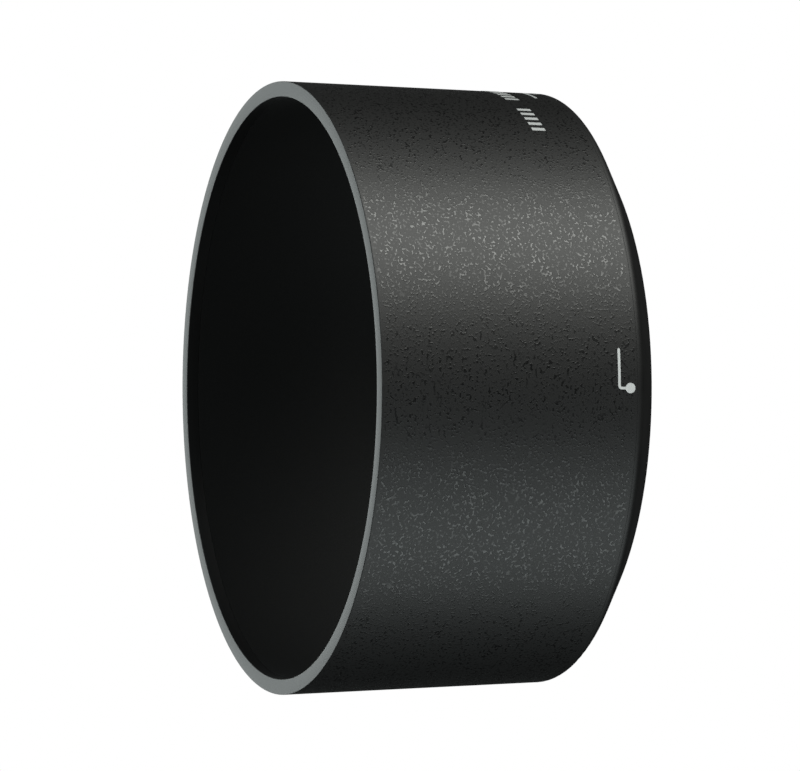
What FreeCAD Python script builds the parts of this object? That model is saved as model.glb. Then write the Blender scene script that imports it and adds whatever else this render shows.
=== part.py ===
import FreeCAD, Part
import math
import os
from FreeCAD import Vector

# A round bayonet lens hood, in millimetres.
# The optical axis is the Y axis. The origin is the centre of the rear face, where the
# lens enters, so the hood reaches from y = 0 forward to y = -HOOD_LENGTH. +Z is up when
# the hood is on a level lens, and the index mark is on the +X side.
# An angle round the axis is 0 at +X and grows towards +Z.
# "from_rear" is always a distance in front of the rear face.

# ---- driving dimensions ----
FRONT_DIAMETER = 78.0
HOOD_LENGTH = 38.3
DRAFT_DEG = 2.06
WALL = 1.95
PILOT_DIAMETER = 61.4
THROAT_DIAMETER = 58.6
REAR_FACE_DIAMETER = 64.4
SHOULDER_HEIGHT = 3.3
BAYONET_COUNT = 3

# ---- barrel ----
RIM_OUTER_FILLET = 0.1
RIM_INNER_FILLET = 0.1
JOINT_FROM_REAR = 4.05
JOINT_BEVEL = 0.03
SPIGOT_RADIUS = 36.0
FLANGE_REAR = 5.4
FLANGE_THICKNESS = 1.6
FLANGE_CORNER_FILLET = 0.6

# ---- flocked liner ----
LINER_THICKNESS = 0.35
LINER_FROM_RIM = 1.5
LINER_SEAM_GAP = 0.3

# ---- mount ring and its bayonet lugs ----
SPIGOT_CLEARANCE = 0.02
SHOULDER_FILLET = 1.2
PILOT_EDGE_FILLET = 0.15
REAR_EDGE_FILLET = 0.15
PILOT_LENGTH = 2.0
TRACK_RADIUS = 31.1
LUG_THICKNESS = 1.5
LUG_SPAN_DEG = 36.0
LUG_FIRST_DEG = 90.0
LUG_ROOT_DEPTH = 1.0
LEAD_IN_SPAN_DEG = 7.0
LEAD_IN_DEPTH = 0.5
STOP_SPAN_DEG = 5.0

# ---- click springs, one in a pocket beside each lug ----
LEAF_THICKNESS = 0.25
LEAF_WIDTH = 1.5
LEAF_INNER_RADIUS = 30.85
LEAF_TIP_FROM_LUG_DEG = 24.0
EYE_FROM_LUG_DEG = 51.0
EYE_RADIUS = 0.6
SOCKET_RADIUS = 0.65
POCKET_RADIUS = 31.9
POCKET_TIP_SLACK_DEG = 1.0
BUMP_FROM_LUG_DEG = 26.0
BUMP_SPAN_DEG = 8.0
BUMP_RADIUS = 0.75
BUMP_HEIGHT = 0.5

# ---- screws that hold the mount ring, driven from inside the hood ----
SCREW_FROM_LUG_DEG = -43.0
SCREW_CIRCLE_RADIUS = 33.4
SCREW_DIAMETER = 1.4
SCREW_CLEARANCE_DIAMETER = 1.6
SCREW_HEAD_DIAMETER = 2.1
SCREW_HEAD_HEIGHT = 0.6
SCREW_LENGTH = 3.7
SCREW_BLIND_END = 0.15
COUNTERBORE_DIAMETER = 2.3
COUNTERBORE_DEPTH = 0.7
CROSS_LENGTH = 1.2
CROSS_WIDTH = 0.3
CROSS_DEPTH = 0.35

# ---- printed marks, sunk in the grained skin ----
INK_DEPTH = 0.1
INK_PROUD = 0.03
MARKS_FRONT = 14.0
STENCIL_START_RADIUS = 33.0
STENCIL_REACH = 8.0
INDEX_FROM_REAR = 5.03
INDEX_DOT_DIAMETER = 1.3
STROKE_FROM_REAR = 6.52
STROKE_WIDTH = 0.34
STROKE_HEIGHT = 4.95
STROKE_CORNER = 0.5
STROKE_END_FLAT = 0.004
LOCK_ANGLE_DEG = 84.7
LOCK_HOLE_DIAMETER = 0.7
BAR_FROM_REAR = 10.4
BAR_LENGTH = 1.8
BAR_WIDTH = 0.7
BAR_CORNER = 0.1
BAR_PITCH_DEG = 2.2
BAR_GROUPS = ((59.2, 5), (75.0, 9))

FRONT_RADIUS = FRONT_DIAMETER / 2
PILOT_RADIUS = PILOT_DIAMETER / 2
THROAT_RADIUS = THROAT_DIAMETER / 2
REAR_FACE_RADIUS = REAR_FACE_DIAMETER / 2
SCREW_RADIUS = SCREW_DIAMETER / 2
FLANGE_FRONT = FLANGE_REAR + FLANGE_THICKNESS
LINER_FRONT = HOOD_LENGTH - LINER_FROM_RIM
LUG_FRONT = PILOT_LENGTH + LUG_THICKNESS
HEAD_SEAT = FLANGE_FRONT - COUNTERBORE_DEPTH
EYE_CENTRE_RADIUS = LEAF_INNER_RADIUS + EYE_RADIUS
AXIS = Vector(0, 1, 0)
CENTRE = Vector(0, 0, 0)


def outer_radius(from_rear):
    """Radius of the tapering outside."""
    from_rim = HOOD_LENGTH - from_rear
    return FRONT_RADIUS - from_rim * math.tan(math.radians(DRAFT_DEG))


def inner_radius(from_rear):
    return outer_radius(from_rear) - WALL


# ---- shapes that the parts share ----

def rounded_wire(corners):
    """Closed wire in the XY plane through (x, y, fillet) corners, with tangent arcs."""
    stops = []
    for index, (x, y, fillet) in enumerate(corners):
        here = Vector(x, y, 0)
        if fillet == 0:
            stops.append((here, None, here))
            continue
        before = Vector(*corners[index - 1][:2], 0)
        after = Vector(*corners[(index + 1) % len(corners)][:2], 0)
        to_before = (before - here).normalize()
        to_after = (after - here).normalize()
        half = to_before.getAngle(to_after) / 2
        reach = fillet / math.tan(half)
        centre = here + (to_before + to_after).normalize() * (fillet / math.sin(half))
        middle = centre + (here - centre).normalize() * fillet
        stops.append((here + to_before * reach, middle, here + to_after * reach))
    edges = []
    for index, (arrive, middle, leave) in enumerate(stops):
        if middle is not None:
            edges.append(Part.Arc(arrive, middle, leave).toShape())
        following = stops[(index + 1) % len(stops)][0]
        edges.append(Part.LineSegment(leave, following).toShape())
    return Part.Wire(edges)


def turned(corners, span_deg=360.0, start_deg=-90.0):
    """Solid turned round the hood's axis from (radius, from_rear, fillet) corners."""
    wire = rounded_wire([(radius, -from_rear, fillet) for radius, from_rear, fillet in corners])
    face = Part.Face(wire)
    face.rotate(CENTRE, AXIS, -start_deg)
    return face.revolve(CENTRE, AXIS, -span_deg)


def turned_block(inner, outer, front, rear, span_deg=360.0, start_deg=-90.0):
    """A turned ring or ring segment with a plain rectangular section."""
    corners = [(inner, rear, 0), (outer, rear, 0), (outer, front, 0), (inner, front, 0)]
    return turned(corners, span_deg, start_deg)


def around(shape, angle_deg):
    """A copy of a shape made at angle 0, turned to another angle round the axis."""
    copy = shape.copy()
    copy.rotate(CENTRE, AXIS, -angle_deg)
    return copy


def post(radius, front, rear, at_radius, angle_deg):
    """A round post along the axis direction, at a place on a circle."""
    base = Vector(at_radius, -front, 0)
    return around(Part.makeCylinder(radius, front - rear, base, AXIS), angle_deg)


def bayonet_angles(offset_deg):
    """The angle of one feature of each bayonet sector."""
    pitch_deg = 360.0 / BAYONET_COUNT
    return [LUG_FIRST_DEG + sector * pitch_deg + offset_deg for sector in range(BAYONET_COUNT)]


# ---- printed marks ----

def ink_skin():
    """The thin layer at the outside of the barrel in which the marks lie."""
    front = MARKS_FRONT
    rear = JOINT_FROM_REAR
    return turned([
        (outer_radius(rear) + INK_PROUD, rear, 0),
        (outer_radius(front) + INK_PROUD, front, 0),
        (outer_radius(front) - INK_DEPTH, front, 0),
        (outer_radius(rear) - INK_DEPTH, rear, 0),
    ])


def stencil(corners):
    """A prism through the skin at angle 0 from (from_rear, height, fillet) corners."""
    wire = rounded_wire([(-from_rear, height, fillet) for from_rear, height, fillet in corners])
    prism = Part.Face(wire).extrude(Vector(0, 0, STENCIL_REACH))
    placement = FreeCAD.Matrix(0, 0, 1, STENCIL_START_RADIUS, 1, 0, 0, 0, 0, 1, 0, 0)
    return prism.transformed(placement, copy=True)


def dot_stencil(diameter):
    base = Vector(STENCIL_START_RADIUS, -INDEX_FROM_REAR, 0)
    return Part.makeCylinder(diameter / 2, STENCIL_REACH, base, Vector(1, 0, 0))


def stroke_stencil(height):
    """The L-shaped stroke: a leg round the barrel and a short leg to the dot."""
    half = STROKE_WIDTH / 2
    side = math.copysign(half, height)
    end = half - STROKE_END_FLAT
    return stencil([
        (STROKE_FROM_REAR + half, height, end),
        (STROKE_FROM_REAR + half, -side, STROKE_CORNER),
        (INDEX_FROM_REAR, -side, 0),
        (INDEX_FROM_REAR, side, 0),
        (STROKE_FROM_REAR - half, side, STROKE_CORNER - STROKE_WIDTH),
        (STROKE_FROM_REAR - half, height, end),
    ])


def index_line_stencil():
    return stroke_stencil(STROKE_HEIGHT).cut(dot_stencil(INDEX_DOT_DIAMETER))


def lock_mark_stencil():
    """An open ring with a stroke that runs the other way from the index line's."""
    mark = dot_stencil(INDEX_DOT_DIAMETER).fuse(stroke_stencil(-STROKE_HEIGHT))
    mark = mark.cut(dot_stencil(LOCK_HOLE_DIAMETER)).removeSplitter()
    return around(mark, LOCK_ANGLE_DEG)


def label_bars_stencil():
    """Plain bars in two groups."""
    half_length = BAR_LENGTH / 2
    half_width = BAR_WIDTH / 2
    bar = stencil([
        (BAR_FROM_REAR + half_length, half_width, BAR_CORNER),
        (BAR_FROM_REAR + half_length, -half_width, BAR_CORNER),
        (BAR_FROM_REAR - half_length, -half_width, BAR_CORNER),
        (BAR_FROM_REAR - half_length, half_width, BAR_CORNER),
    ])
    bars = []
    for start_deg, count in BAR_GROUPS:
        for index in range(count):
            bars.append(around(bar, start_deg + index * BAR_PITCH_DEG))
    return Part.makeCompound(bars)


def ink_marks():
    """The ink of each mark by name, filling its recess and standing a hair proud."""
    stencils = {
        "index_dot": dot_stencil(INDEX_DOT_DIAMETER),
        "index_line": index_line_stencil(),
        "lock_mark": lock_mark_stencil(),
        "label_bars": label_bars_stencil(),
    }
    return {name: ink_skin().common(shape) for name, shape in stencils.items()}


# ---- barrel ----

def barrel_body():
    return turned([
        (outer_radius(HOOD_LENGTH), HOOD_LENGTH, RIM_OUTER_FILLET),
        (outer_radius(JOINT_FROM_REAR), JOINT_FROM_REAR, JOINT_BEVEL),
        (SPIGOT_RADIUS, JOINT_FROM_REAR, 0),
        (SPIGOT_RADIUS, FLANGE_REAR, 0),
        (THROAT_RADIUS, FLANGE_REAR, 0),
        (THROAT_RADIUS, FLANGE_FRONT, FLANGE_CORNER_FILLET),
        (inner_radius(FLANGE_FRONT) + LINER_THICKNESS, FLANGE_FRONT, 0),
        (inner_radius(LINER_FRONT) + LINER_THICKNESS, LINER_FRONT, 0),
        (inner_radius(LINER_FRONT), LINER_FRONT, 0),
        (inner_radius(HOOD_LENGTH), HOOD_LENGTH, RIM_INNER_FILLET),
    ])


def barrel_shell(marks):
    """The grained tube with its rim and its stop flange, which the screws go through."""
    shell = barrel_body()
    for angle in bayonet_angles(SCREW_FROM_LUG_DEG):
        hole = post(SCREW_CLEARANCE_DIAMETER / 2, FLANGE_FRONT, FLANGE_REAR, SCREW_CIRCLE_RADIUS, angle)
        seat = post(COUNTERBORE_DIAMETER / 2, FLANGE_FRONT, HEAD_SEAT, SCREW_CIRCLE_RADIUS, angle)
        shell = shell.cut(hole).cut(seat)
    for mark in marks:
        shell = shell.cut(mark)
    return shell


def flock_liner():
    """Thin sleeve in the barrel's rebate, cut once along its length at the bottom."""
    seam_deg = math.degrees(LINER_SEAM_GAP / inner_radius(FLANGE_FRONT))
    corners = [
        (inner_radius(FLANGE_FRONT), FLANGE_FRONT, 0),
        (inner_radius(FLANGE_FRONT) + LINER_THICKNESS, FLANGE_FRONT, 0),
        (inner_radius(LINER_FRONT) + LINER_THICKNESS, LINER_FRONT, 0),
        (inner_radius(LINER_FRONT), LINER_FRONT, 0),
    ]
    return turned(corners, 360.0 - seam_deg, -90.0 + seam_deg / 2)


# ---- mount ring ----

def ring_body():
    """Shoulder, pilot bore, the wider track behind it and the spigot that enters the barrel."""
    spigot = SPIGOT_RADIUS - SPIGOT_CLEARANCE
    return turned([
        (PILOT_RADIUS, 0, PILOT_EDGE_FILLET),
        (REAR_FACE_RADIUS, 0, REAR_EDGE_FILLET),
        (outer_radius(SHOULDER_HEIGHT), SHOULDER_HEIGHT, SHOULDER_FILLET),
        (outer_radius(JOINT_FROM_REAR), JOINT_FROM_REAR, JOINT_BEVEL),
        (spigot, JOINT_FROM_REAR, 0),
        (spigot, FLANGE_REAR, 0),
        (TRACK_RADIUS, FLANGE_REAR, 0),
        (TRACK_RADIUS, PILOT_LENGTH, 0),
        (PILOT_RADIUS, PILOT_LENGTH, 0),
    ])


def lead_in(start_deg):
    """What a lug's front face loses, so that the lens's lug can slide in behind it."""
    tallest = LEAD_IN_DEPTH * 2
    inside = THROAT_RADIUS / 2
    wedge = Part.makeBox(FRONT_RADIUS - inside, tallest, FRONT_RADIUS)
    wedge.translate(Vector(inside, -LUG_FRONT - tallest, 0))
    run = THROAT_RADIUS * math.radians(LEAD_IN_SPAN_DEG)
    tilt_deg = math.degrees(math.atan2(LEAD_IN_DEPTH, run))
    wedge.rotate(Vector(0, -LUG_FRONT, 0), Vector(1, 0, 0), tilt_deg)
    return around(wedge, start_deg).common(turned_block(inside, TRACK_RADIUS, FLANGE_REAR, 0))


def lug(angle):
    """One bayonet lug with a lead-in ramp at one end and a stop rib at the other."""
    root = TRACK_RADIUS + LUG_ROOT_DEPTH
    start = angle - LUG_SPAN_DEG / 2
    tooth = turned_block(THROAT_RADIUS, root, LUG_FRONT, PILOT_LENGTH, LUG_SPAN_DEG, start)
    stop = turned_block(THROAT_RADIUS, root, FLANGE_REAR, PILOT_LENGTH, STOP_SPAN_DEG, start)
    return tooth.cut(lead_in(start + LUG_SPAN_DEG - LEAD_IN_SPAN_DEG)).fuse(stop)


def spring_pocket(angle):
    """The pocket in the track's wall in which a leaf can move, with its eye's socket."""
    start = angle + LEAF_TIP_FROM_LUG_DEG - POCKET_TIP_SLACK_DEG
    eye = angle + EYE_FROM_LUG_DEG
    hollow = turned_block(PILOT_RADIUS, POCKET_RADIUS, FLANGE_REAR, LUG_FRONT, eye - start, start)
    return hollow.fuse(post(SOCKET_RADIUS, FLANGE_REAR, LUG_FRONT, EYE_CENTRE_RADIUS, eye))


def mount_ring():
    ring = ring_body()
    for angle in bayonet_angles(0.0):
        ring = ring.fuse(lug(angle))
    for angle in bayonet_angles(0.0):
        ring = ring.cut(spring_pocket(angle))
    thread_end = HEAD_SEAT - SCREW_LENGTH - SCREW_BLIND_END
    for angle in bayonet_angles(SCREW_FROM_LUG_DEG):
        ring = ring.cut(post(SCREW_RADIUS, FLANGE_REAR, thread_end, SCREW_CIRCLE_RADIUS, angle))
    return ring


# ---- small hardware ----

def click_spring(angle):
    """A leaf with a rolled eye at one end and a round click bump near the other."""
    middle = (LUG_FRONT + FLANGE_REAR) / 2
    front = middle + LEAF_WIDTH / 2
    rear = middle - LEAF_WIDTH / 2
    outside = LEAF_INNER_RADIUS + LEAF_THICKNESS
    start = angle + LEAF_TIP_FROM_LUG_DEG
    eye = angle + EYE_FROM_LUG_DEG
    leaf = turned_block(LEAF_INNER_RADIUS, outside, front, rear, eye - start, start)
    bump_at = angle + BUMP_FROM_LUG_DEG
    bump_centre = LEAF_INNER_RADIUS - BUMP_HEIGHT + BUMP_RADIUS
    sector_start = bump_at - BUMP_SPAN_DEG / 2
    bump_sector = turned_block(THROAT_RADIUS, outside, front, rear, BUMP_SPAN_DEG, sector_start)
    bump = post(BUMP_RADIUS, front, rear, bump_centre, bump_at).common(bump_sector)
    hollow = post(BUMP_RADIUS - LEAF_THICKNESS, front, rear, bump_centre, bump_at)
    roll = post(EYE_RADIUS, front, rear, EYE_CENTRE_RADIUS, eye)
    bore = post(EYE_RADIUS - LEAF_THICKNESS, front, rear, EYE_CENTRE_RADIUS, eye)
    return leaf.fuse(bump).cut(hollow).fuse(roll).cut(bore).removeSplitter()


def ring_screw(angle):
    """Pan-head screw with a cross recess, driven from the front."""
    head_front = HEAD_SEAT + SCREW_HEAD_HEIGHT
    head = post(SCREW_HEAD_DIAMETER / 2, head_front, HEAD_SEAT, SCREW_CIRCLE_RADIUS, angle)
    shank = post(SCREW_RADIUS, HEAD_SEAT, HEAD_SEAT - SCREW_LENGTH, SCREW_CIRCLE_RADIUS, angle)
    screw = head.fuse(shank)
    for length, width in ((CROSS_LENGTH, CROSS_WIDTH), (CROSS_WIDTH, CROSS_LENGTH)):
        slot = Part.makeBox(length, CROSS_DEPTH, width)
        slot.translate(Vector(SCREW_CIRCLE_RADIUS - length / 2, -head_front, -width / 2))
        screw = screw.cut(around(slot, angle))
    return screw


def ring_screws():
    return Part.makeCompound([ring_screw(angle) for angle in bayonet_angles(SCREW_FROM_LUG_DEG)])


def write(name, shape):
    shape.exportStep("parts/%s.step" % name)
    facts = (name, len(shape.Solids), shape.Volume, shape.isValid())
    print("%-16s solids %2d  volume %9.3f mm3  valid %s" % facts)


os.makedirs("parts", exist_ok=True)
ink = ink_marks()
write("barrel_shell", barrel_shell(ink.values()))
write("flock_liner", flock_liner())
write("mount_ring", mount_ring())
for number, lug_angle in enumerate(bayonet_angles(0.0), start=1):
    write("click_spring_%d" % number, click_spring(lug_angle))
write("ring_screws", ring_screws())
for mark_name, mark_shape in ink.items():
    write(mark_name, mark_shape)
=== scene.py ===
import math

import bpy
import numpy as np
from mathutils import Matrix, Vector


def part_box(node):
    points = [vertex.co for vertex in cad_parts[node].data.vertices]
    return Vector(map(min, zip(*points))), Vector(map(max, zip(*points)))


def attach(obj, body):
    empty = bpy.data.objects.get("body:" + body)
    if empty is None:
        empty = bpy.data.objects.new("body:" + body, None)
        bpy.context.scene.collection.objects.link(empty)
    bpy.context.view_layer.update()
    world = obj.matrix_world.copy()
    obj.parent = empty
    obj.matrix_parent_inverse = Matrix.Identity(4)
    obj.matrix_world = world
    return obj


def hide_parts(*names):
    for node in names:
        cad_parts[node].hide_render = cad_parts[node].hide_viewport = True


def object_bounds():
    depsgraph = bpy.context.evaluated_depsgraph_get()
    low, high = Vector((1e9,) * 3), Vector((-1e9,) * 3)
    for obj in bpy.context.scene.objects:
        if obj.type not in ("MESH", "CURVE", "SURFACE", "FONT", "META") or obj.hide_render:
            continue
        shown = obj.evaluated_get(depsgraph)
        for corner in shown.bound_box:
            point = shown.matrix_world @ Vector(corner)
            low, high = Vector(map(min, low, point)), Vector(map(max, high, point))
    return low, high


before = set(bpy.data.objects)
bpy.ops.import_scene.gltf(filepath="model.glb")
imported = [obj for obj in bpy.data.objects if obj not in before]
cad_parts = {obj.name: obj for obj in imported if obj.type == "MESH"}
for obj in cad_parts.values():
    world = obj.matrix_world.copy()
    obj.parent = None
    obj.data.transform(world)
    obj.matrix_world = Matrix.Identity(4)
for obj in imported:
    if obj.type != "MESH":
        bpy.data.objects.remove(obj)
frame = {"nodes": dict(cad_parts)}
CAD_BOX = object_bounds()

MM = 0.001

# ---- sizes read from the frame, in metres ----
# The optical axis is Y, the rear face is at y = 0 and the front rim at the lowest y.
BARREL_LOW, BARREL_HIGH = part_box("barrel_shell")
LINER_LOW, LINER_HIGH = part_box("flock_liner")
RIM_Y = BARREL_LOW[1]
JOINT_Y = BARREL_HIGH[1]
RIM_RADIUS = BARREL_HIGH[0]
LINER_FRONT_Y = LINER_LOW[1]
FLANGE_FRONT_Y = LINER_HIGH[1]

# ---- sizes of the same moulding that no box gives ----
DRAFT = math.radians(2.06)
WALL = 1.95 * MM
RIM_FILLET = 0.1 * MM
JOINT_BEVEL = 0.03 * MM
SPIGOT_RADIUS = 36.0 * MM
FLANGE_REAR_Y = -5.4 * MM
FLANGE_CORNER_FILLET = 0.6 * MM
THROAT_RADIUS = 29.3 * MM
LINER_THICKNESS = 0.35 * MM
LINER_EDGE_FILLET = 0.1 * MM
SEAM_GAP = 0.3 * MM
SEAM_ANGLE = math.radians(-90)
SCREW_CIRCLE = 33.4 * MM
SCREW_ANGLES = (47, 167, 287)
SCREW_SEAT_RADIUS = 1.15 * MM
SCREW_SEAT_DEPTH = 0.7 * MM
SCREW_HOLE_RADIUS = 0.8 * MM

# ---- working clearances ----
CUTTER_MARGIN = 1.0 * MM    # how far the screw seats' cutter stands out of the flange
LINER_INSET = 0.02 * MM     # gap between the liner and the front end of its rebate

# ---- mesh density ----
SEGMENTS = 720
ARC_STEPS = 6
FADE_ROWS = 4
SKIN_ROWS = 24
POST_SEGMENTS = 32
SHARP_ANGLE = math.radians(35)

# ---- moulded grain: glossier lumps, in patches, that fade out at the skin's two edges ----
GRAIN_FADE = 0.5 * MM
GRAIN_SIZE = 0.33 * MM
GRAIN_DEPTH = 0.015 * MM
PATCH_SIZE = 1.6 * MM
PATCH_LEAST = 0.45

# ---- noise values, from where a feature starts to where it is full ----
GRAIN_BAND = (0.54, 0.66)
PATCH_BAND = (0.35, 0.6)
CLOUD_BAND = (0.3, 0.7)

# ---- noise detail, which is the number of finer layers added ----
GRAIN_DETAIL = 0.5
PATCH_DETAIL = 1
FIBRE_DETAIL = 2
CLOUD_DETAIL = 3

# ---- finishes ----
PLASTIC_COLOUR = (0.004, 0.004, 0.0041, 1)
PLASTIC_ROUGHNESS = 0.54
PLASTIC_UNEVENNESS = 0.02
PLASTIC_CLOUD = 4 * MM
SPECK_ROUGHNESS = 0.31
FLOCK_DARK = (0.007, 0.007, 0.007, 1)
FLOCK_LIGHT = (0.019, 0.019, 0.019, 1)
FLOCK_ROUGHNESS = 0.95
FLOCK_SPECULAR = 0.1
FIBRE_SIZE = 0.12 * MM
INK_ROUGHNESS = 0.55
INK_UNEVENNESS = 0.05
INK_COOLNESS = 0.01
INK_CLOUD = 0.3 * MM
INDEX_INK_TONE = 0.6
LABEL_INK_TONE = 0.43
SPRING_COLOUR = (0.62, 0.61, 0.58, 1)
SPRING_ROUGHNESS = 0.3
SCREW_COLOUR = (0.05, 0.05, 0.052, 1)
SCREW_ROUGHNESS = 0.35
STEEL_UNEVENNESS = 0.06
STEEL_CLOUD = 0.2 * MM

# ---- camera, level with the axis and turned from the front towards the index mark ----
VIEW_TURN = math.radians(70.284)
CAMERA_DISTANCE = 1.2
CAMERA_RIGHT = 15.37 * MM
CAMERA_RISE = 0.32 * MM
SENSOR_WIDTH = 36.0
FOCAL_LENGTH = 424.85
NEAR_CLIP = 0.01
FAR_CLIP = 50

# ---- light: two long streaks along the barrel, a lit rim and a weak fill ----
UPPER_STREAK_DEG = 28.5
LOWER_STREAK_DEG = -27.3
FILL_DIRECTION = (0.28, -0.94, 0.15)
WARM_WHITE = (0.98, 1.0, 0.955)
COOL_WHITE = (0.92, 1.0, 0.99)
ROOM_STRENGTH = 0.008
FLOOR_SIZE = 8
BACKDROP_RADIUS = 6


def outer_radius(y):
    """Radius of the tapering skin."""
    return RIM_RADIUS - (y - RIM_Y) * math.tan(DRAFT)


def inner_radius(y):
    """Radius of the lined bore."""
    return outer_radius(y) - WALL


# ---- mesh helpers ----

def link(name, mesh, body, node):
    """Adds a piece that rides on a body, in place of a CAD node that it hides."""
    piece = bpy.data.objects.new(name, mesh)
    bpy.context.scene.collection.objects.link(piece)
    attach(piece, body)
    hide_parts(node)
    return piece


def rounded(corners):
    """Closed outline through (radius, y, fillet) corners, with each fillet as a short arc."""
    points = []
    for index, (radius, y, fillet) in enumerate(corners):
        here = Vector((radius, y))
        if fillet == 0:
            points.append(here)
            continue
        to_before = (Vector(corners[index - 1][:2]) - here).normalized()
        to_after = (Vector(corners[(index + 1) % len(corners)][:2]) - here).normalized()
        half = to_before.angle(to_after) / 2
        reach = fillet / math.tan(half)
        centre = here + (to_before + to_after).normalized() * (fillet / math.sin(half))
        start = here + to_before * reach - centre
        sweep = start.angle_signed(here + to_after * reach - centre)
        for step in range(ARC_STEPS + 1):
            turn = Matrix.Rotation(-sweep * step / ARC_STEPS, 2)
            points.append(centre + turn @ start)
    return points


def divided(start, end, rows):
    """Points from start to end, without either."""
    return [start.lerp(end, row / rows) for row in range(1, rows)]


def turned_mesh(name, outline, start=0.0, span=2 * math.pi):
    """Mesh turned round the Y axis from a closed outline of (radius, y) points.

    The outline runs rearwards on the outside. An angle is 0 at +X and grows towards +Z.
    """
    outline = np.array([tuple(p) for p in outline])
    count = len(outline)
    is_whole = span == 2 * math.pi
    columns = SEGMENTS if is_whole else SEGMENTS + 1
    angles = start + span * np.arange(columns) / SEGMENTS
    x = np.cos(angles)[:, None] * outline[None, :, 0]
    z = np.sin(angles)[:, None] * outline[None, :, 0]
    y = np.broadcast_to(outline[None, :, 1], x.shape)
    places = np.stack([x, y, z], axis=2).reshape(-1, 3)
    column = np.arange(SEGMENTS)[:, None] * count
    following = (np.arange(SEGMENTS)[:, None] + 1) % columns * count
    row = np.arange(count)[None, :]
    after = (row + 1) % count
    corners = [column + row, column + after, following + after, following + row]
    faces = np.stack(corners, axis=2).reshape(-1, 4).tolist()
    if not is_whole:
        faces.append(list(reversed(range(count))))
        faces.append(list(range(SEGMENTS * count, columns * count)))
    mesh = bpy.data.meshes.new(name)
    mesh.from_pydata(places.tolist(), [], faces)
    mesh.update()
    return mesh


def stepped_post(steps, centre):
    """Closed round post along the Y axis, through (radius, y) steps, as points and faces.

    The steps run rearwards.
    """
    angles = np.linspace(0, 2 * math.pi, POST_SEGMENTS, endpoint=False)
    points = []
    for radius, y in steps:
        for angle in angles:
            points.append(centre + Vector((radius * math.cos(angle), y, radius * math.sin(angle))))
    faces = [list(range(POST_SEGMENTS))]
    for ring in range(len(steps) - 1):
        for corner in range(POST_SEGMENTS):
            here = ring * POST_SEGMENTS + corner
            beside = ring * POST_SEGMENTS + (corner + 1) % POST_SEGMENTS
            faces.append([here, here + POST_SEGMENTS, beside + POST_SEGMENTS, beside])
    faces.append(list(reversed(range(len(points) - POST_SEGMENTS, len(points)))))
    return points, faces


def soften(piece):
    """Smooth shading, with the real edges kept sharp."""
    piece.data.shade_smooth()
    piece.data.set_sharp_from_angle(angle=SHARP_ANGLE)


# ---- barrel ----

def skin_rows(rim_end, joint_end):
    """Points along the skin, closer together where the grain fades out at its two edges."""
    fade = (joint_end - rim_end).normalized() * GRAIN_FADE
    near_rim = rim_end + fade
    near_joint = joint_end - fade
    rows = divided(rim_end, near_rim, FADE_ROWS) + [near_rim]
    rows += divided(near_rim, near_joint, SKIN_ROWS) + [near_joint]
    return rows + divided(near_joint, joint_end, FADE_ROWS)


def cut_screw_seats(piece):
    """Cuts the three counterbored screw holes through the flange."""
    seat_y = FLANGE_FRONT_Y + SCREW_SEAT_DEPTH
    steps = [
        (SCREW_SEAT_RADIUS, FLANGE_FRONT_Y - CUTTER_MARGIN),
        (SCREW_SEAT_RADIUS, seat_y),
        (SCREW_HOLE_RADIUS, seat_y),
        (SCREW_HOLE_RADIUS, FLANGE_REAR_Y + CUTTER_MARGIN),
    ]
    points = []
    faces = []
    for angle in SCREW_ANGLES:
        turn = math.radians(angle)
        centre = Vector((math.cos(turn), 0, math.sin(turn))) * SCREW_CIRCLE
        post_points, post_faces = stepped_post(steps, centre)
        faces += [[corner + len(points) for corner in face] for face in post_faces]
        points += post_points
    mesh = bpy.data.meshes.new("screw_seats")
    mesh.from_pydata(points, [], faces)
    cutter = bpy.data.objects.new("screw_seats", mesh)
    bpy.context.scene.collection.objects.link(cutter)
    modifier = piece.modifiers.new("screw_seats", "BOOLEAN")
    modifier.operation = "DIFFERENCE"
    modifier.solver = "EXACT"
    modifier.object = cutter
    bpy.context.view_layer.objects.active = piece
    bpy.ops.object.modifier_apply(modifier=modifier.name)
    bpy.data.objects.remove(cutter)
    bpy.data.meshes.remove(mesh)


def barrel():
    """Tapering tube with its stop flange. Its grain attribute is 1 on the skin and 0 elsewhere."""
    outline = rounded([
        (outer_radius(RIM_Y), RIM_Y, RIM_FILLET),
        (outer_radius(JOINT_Y), JOINT_Y, JOINT_BEVEL),
        (SPIGOT_RADIUS, JOINT_Y, 0),
        (SPIGOT_RADIUS, FLANGE_REAR_Y, 0),
        (THROAT_RADIUS, FLANGE_REAR_Y, 0),
        (THROAT_RADIUS, FLANGE_FRONT_Y, FLANGE_CORNER_FILLET),
        (inner_radius(FLANGE_FRONT_Y) + LINER_THICKNESS, FLANGE_FRONT_Y, 0),
        (inner_radius(LINER_FRONT_Y) + LINER_THICKNESS, LINER_FRONT_Y, 0),
        (inner_radius(LINER_FRONT_Y), LINER_FRONT_Y, 0),
        (inner_radius(RIM_Y), RIM_Y, RIM_FILLET),
    ])
    rim_end, joint_end = outline[ARC_STEPS:ARC_STEPS + 2]
    skin = skin_rows(rim_end, joint_end)
    outline[ARC_STEPS + 1:ARC_STEPS + 1] = skin
    mesh = turned_mesh("barrel", outline)
    grain = np.zeros(len(outline), dtype=np.float32)
    for row, point in enumerate(skin, start=ARC_STEPS + 1):
        from_edge = min((point - rim_end).length, (joint_end - point).length)
        grain[row] = min(from_edge / GRAIN_FADE, 1)
    marks = mesh.attributes.new("grain", "FLOAT", "POINT")
    marks.data.foreach_set("value", np.tile(grain, SEGMENTS))
    piece = link("barrel", mesh, "hood", "barrel_shell")
    cut_screw_seats(piece)
    soften(piece)
    return piece


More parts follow.
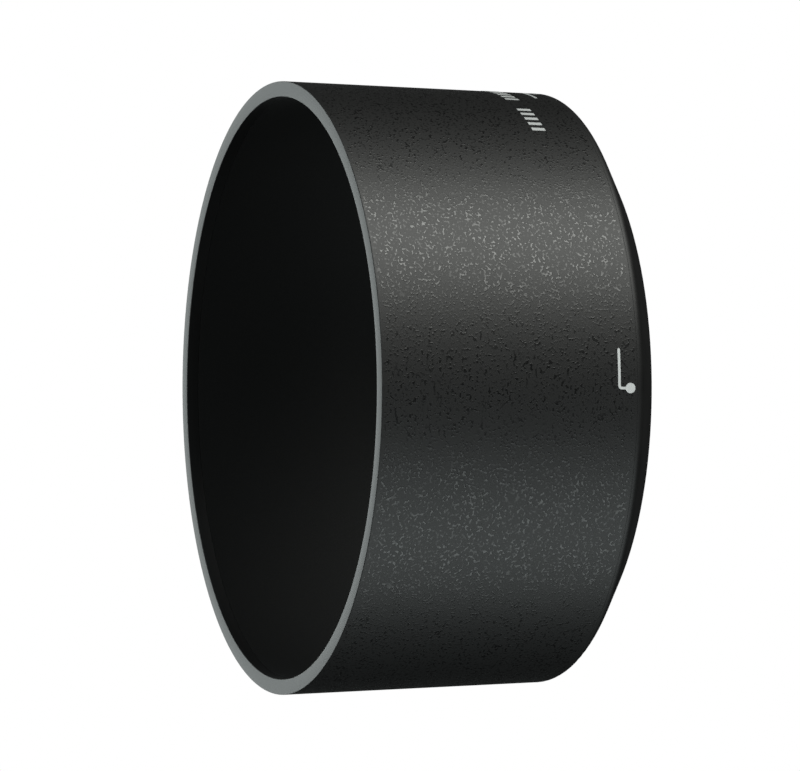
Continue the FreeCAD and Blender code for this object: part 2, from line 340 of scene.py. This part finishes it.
def liner():
    """Flocked sleeve in the barrel's rebate, with its butt seam at the bottom."""
    outline = rounded([
        (inner_radius(LINER_FRONT_Y) + LINER_THICKNESS, LINER_FRONT_Y + LINER_INSET, 0),
        (inner_radius(FLANGE_FRONT_Y) + LINER_THICKNESS, FLANGE_FRONT_Y, 0),
        (inner_radius(FLANGE_FRONT_Y), FLANGE_FRONT_Y, 0),
        (inner_radius(LINER_FRONT_Y), LINER_FRONT_Y + LINER_INSET, LINER_EDGE_FILLET),
    ])
    gap = SEAM_GAP / inner_radius(FLANGE_FRONT_Y)
    mesh = turned_mesh("liner", outline, SEAM_ANGLE + gap / 2, 2 * math.pi - gap)
    piece = link("liner", mesh, "hood", "flock_liner")
    soften(piece)
    return piece


# ---- materials ----

def new_material(name):
    """A material with its Principled shader and node tree."""
    material = bpy.data.materials.new(name)
    material.use_nodes = True
    nodes = material.node_tree.nodes
    return material, nodes, material.node_tree.links, nodes["Principled BSDF"]


def noise(nodes, links, size, detail):
    """3-D noise whose lumps are about size metres across, fixed to the piece."""
    coords = nodes.new("ShaderNodeTexCoord")
    node = nodes.new("ShaderNodeTexNoise")
    node.inputs["Scale"].default_value = 1 / size
    node.inputs["Detail"].default_value = detail
    links.new(coords.outputs["Object"], node.inputs["Vector"])
    return node.outputs["Fac"]


def ranged(nodes, links, value, band, result, kind="SMOOTHSTEP"):
    """The value taken from its band to the band of the result."""
    node = nodes.new("ShaderNodeMapRange")
    node.interpolation_type = kind
    links.new(value, node.inputs["Value"])
    node.inputs["From Min"].default_value = band[0]
    node.inputs["From Max"].default_value = band[1]
    node.inputs["To Min"].default_value = result[0]
    node.inputs["To Max"].default_value = result[1]
    return node.outputs["Result"]


def times(nodes, links, a, b):
    """The product of two values."""
    node = nodes.new("ShaderNodeMath")
    node.operation = "MULTIPLY"
    links.new(a, node.inputs[0])
    links.new(b, node.inputs[1])
    return node.outputs["Value"]


def cloudy(nodes, links, shader, size, roughness, unevenness):
    """A roughness that wanders by the unevenness to either side."""
    cloud = noise(nodes, links, size, CLOUD_DETAIL)
    spread = (roughness - unevenness, roughness + unevenness)
    rough = ranged(nodes, links, cloud, CLOUD_BAND, spread)
    links.new(rough, shader.inputs["Roughness"])


def mottled(nodes, links, shader, size, detail, dark, light):
    """A colour that wanders from dark to light."""
    cloud = noise(nodes, links, size, detail)
    ramp = nodes.new("ShaderNodeValToRGB")
    ramp.color_ramp.elements[0].color = dark
    ramp.color_ramp.elements[1].color = light
    links.new(cloud, ramp.inputs["Fac"])
    links.new(ramp.outputs["Color"], shader.inputs["Base Color"])


def grained_plastic():
    """Matt black plastic whose grain lumps stand up and are glossier."""
    material, nodes, links, shader = new_material("grained_plastic")
    grain = nodes.new("ShaderNodeAttribute")
    grain.attribute_name = "grain"
    specks = noise(nodes, links, GRAIN_SIZE, GRAIN_DETAIL)
    specks = ranged(nodes, links, specks, GRAIN_BAND, (0, 1))
    patches = noise(nodes, links, PATCH_SIZE, PATCH_DETAIL)
    patches = ranged(nodes, links, patches, PATCH_BAND, (PATCH_LEAST, 1))
    specks = times(nodes, links, specks, patches)
    specks = times(nodes, links, specks, grain.outputs["Fac"])
    shader.inputs["Base Color"].default_value = PLASTIC_COLOUR
    spread = (PLASTIC_ROUGHNESS, SPECK_ROUGHNESS)
    roughness = ranged(nodes, links, specks, (0, 1), spread, kind="LINEAR")
    links.new(roughness, shader.inputs["Roughness"])
    bump = nodes.new("ShaderNodeBump")
    bump.inputs["Distance"].default_value = GRAIN_DEPTH
    bump.inputs["Strength"].default_value = 1.0
    links.new(specks, bump.inputs["Height"])
    links.new(bump.outputs["Normal"], shader.inputs["Normal"])
    return material


def smooth_plastic():
    """The same plastic without grain."""
    material, nodes, links, shader = new_material("smooth_plastic")
    shader.inputs["Base Color"].default_value = PLASTIC_COLOUR
    cloudy(nodes, links, shader, PLASTIC_CLOUD, PLASTIC_ROUGHNESS, PLASTIC_UNEVENNESS)
    return material


def flock():
    """Short black fibres with almost no gloss."""
    material, nodes, links, shader = new_material("flock")
    mottled(nodes, links, shader, FIBRE_SIZE, FIBRE_DETAIL, FLOCK_DARK, FLOCK_LIGHT)
    shader.inputs["Roughness"].default_value = FLOCK_ROUGHNESS
    shader.inputs["Specular IOR Level"].default_value = FLOCK_SPECULAR
    return material


def ink(name, tone):
    """Matt printing ink, a little uneven round its tone and a little cool."""
    material, nodes, links, shader = new_material(name)
    dark = tone - INK_UNEVENNESS
    light = tone + INK_UNEVENNESS
    cool_dark = (dark, dark + INK_COOLNESS, dark + INK_COOLNESS, 1)
    cool_light = (light, light + INK_COOLNESS, light + INK_COOLNESS, 1)
    mottled(nodes, links, shader, INK_CLOUD, CLOUD_DETAIL, cool_dark, cool_light)
    shader.inputs["Roughness"].default_value = INK_ROUGHNESS
    return material


def steel(name, colour, roughness):
    """Bare or blackened steel, a little uneven in gloss."""
    material, nodes, links, shader = new_material(name)
    shader.inputs["Base Color"].default_value = colour
    shader.inputs["Metallic"].default_value = 1
    cloudy(nodes, links, shader, STEEL_CLOUD, roughness, STEEL_UNEVENNESS)
    return material


def studio_white():
    """Even white that needs no light."""
    material = bpy.data.materials.new("studio_white")
    material.use_nodes = True
    nodes = material.node_tree.nodes
    nodes.clear()
    glow = nodes.new("ShaderNodeEmission")
    glow.inputs["Color"].default_value = (1, 1, 1, 1)
    glow.inputs["Strength"].default_value = 1
    output = nodes.new("ShaderNodeOutputMaterial")
    material.node_tree.links.new(glow.outputs["Emission"], output.inputs["Surface"])
    return material


def dress(piece, material):
    """Gives a piece its only material."""
    piece.data.materials.clear()
    piece.data.materials.append(material)


# ---- studio ----

VIEW_RIGHT = Vector((math.cos(VIEW_TURN), math.sin(VIEW_TURN), 0))
VIEW_BACK = Vector((math.sin(VIEW_TURN), -math.cos(VIEW_TURN), 0))
UP = Vector((0, 0, 1))
FORWARD = Vector((0, -1, 0))


def camera():
    """Long lens, level, with its place measured from the rim's centre."""
    data = bpy.data.cameras.new("camera")
    data.sensor_width = SENSOR_WIDTH
    data.lens = FOCAL_LENGTH
    data.clip_start = NEAR_CLIP
    data.clip_end = FAR_CLIP
    item = bpy.data.objects.new("camera", data)
    bpy.context.scene.collection.objects.link(item)
    place = Vector((0, RIM_Y, 0))
    place += VIEW_RIGHT * CAMERA_RIGHT
    place += UP * CAMERA_RISE
    place += VIEW_BACK * CAMERA_DISTANCE
    turn = Matrix((VIEW_RIGHT, UP, VIEW_BACK)).transposed()
    item.matrix_world = Matrix.Translation(place) @ turn.to_4x4()
    bpy.context.scene.camera = item


def softbox(name, direction, distance, along, size, radiance, tint):
    """A flat lamp that faces the hood's middle. The first of its two sizes lies along a direction."""
    data = bpy.data.lights.new(name, "AREA")
    data.shape = "RECTANGLE"
    data.size = size[0]
    data.size_y = size[1]
    data.energy = radiance * math.pi * size[0] * size[1]
    data.color = tint
    item = bpy.data.objects.new(name, data)
    bpy.context.scene.collection.objects.link(item)
    back = Vector(direction).normalized()
    side = (along - back * along.dot(back)).normalized()
    turn = Matrix((side, back.cross(side), back)).transposed()
    target = Vector((0, RIM_Y / 2, 0))
    item.matrix_world = Matrix.Translation(target + back * distance) @ turn.to_4x4()
    item.visible_camera = False


def mirrored(normal):
    """Where a ray from the camera goes after it meets a surface with this normal."""
    return normal * 2 * normal.dot(VIEW_BACK) - VIEW_BACK


def skin_normal(angle_deg):
    """The way that the barrel's skin faces at an angle round the axis."""
    angle = math.radians(angle_deg)
    return Vector((math.cos(angle), 0, math.sin(angle)))


def lights():
    """Two streaks and a rim light where the camera sees them mirrored, and a fill."""
    softbox(
        "upper_softbox", mirrored(skin_normal(UPPER_STREAK_DEG)),
        distance=0.8, along=-FORWARD, size=(0.40, 0.54), radiance=9.45, tint=WARM_WHITE,
    )
    softbox(
        "lower_softbox", mirrored(skin_normal(LOWER_STREAK_DEG)),
        distance=0.8, along=-FORWARD, size=(0.40, 0.75), radiance=3.25, tint=COOL_WHITE,
    )
    softbox(
        "rim_panel", mirrored(FORWARD),
        distance=1.0, along=UP, size=(1.0, 1.0), radiance=2.8, tint=COOL_WHITE,
    )
    softbox(
        "front_fill", FILL_DIRECTION,
        distance=1.0, along=UP, size=(2.6, 0.8), radiance=1.9, tint=COOL_WHITE,
    )


def room():
    """The weak even light of a white room."""
    world = bpy.data.worlds.new("studio")
    world.use_nodes = True
    background = world.node_tree.nodes["Background"]
    background.inputs["Color"].default_value = (1, 1, 1, 1)
    background.inputs["Strength"].default_value = ROOM_STRENGTH
    bpy.context.scene.world = world


def only_seen_by_camera(item):
    """Keeps a piece of the studio out of the light and the reflections."""
    item.visible_diffuse = False
    item.visible_glossy = False
    item.visible_transmission = False
    item.visible_volume_scatter = False
    item.visible_shadow = False


def backdrop():
    """White floor and dome, which only the camera sees."""
    white = studio_white()
    bpy.ops.mesh.primitive_plane_add(size=FLOOR_SIZE, location=(0, 0, CAD_BOX[0][2]))
    floor = bpy.context.object
    floor.name = "floor"
    bpy.ops.mesh.primitive_uv_sphere_add(segments=48, ring_count=24, radius=BACKDROP_RADIUS)
    dome = bpy.context.object
    dome.name = "backdrop"
    for item in (floor, dome):
        item.data.materials.append(white)
        only_seen_by_camera(item)


def dress_nodes():
    """Materials for the CAD nodes that stay as they are."""
    nodes = frame["nodes"]
    dress(nodes["mount_ring"], smooth_plastic())
    dress(nodes["ring_screws"], steel("screw_steel", SCREW_COLOUR, SCREW_ROUGHNESS))
    spring_steel = steel("spring_steel", SPRING_COLOUR, SPRING_ROUGHNESS)
    for number in (1, 2, 3):
        dress(nodes["click_spring_%d" % number], spring_steel)
    index_ink = ink("index_ink", INDEX_INK_TONE)
    for mark in ("index_dot", "index_line"):
        dress(nodes[mark], index_ink)
    label_ink = ink("label_ink", LABEL_INK_TONE)
    for mark in ("lock_mark", "label_bars"):
        dress(nodes[mark], label_ink)


camera()
lights()
room()
backdrop()
dress(barrel(), grained_plastic())
dress(liner(), flock())
dress_nodes()

bpy.context.scene.view_settings.view_transform = "Standard"
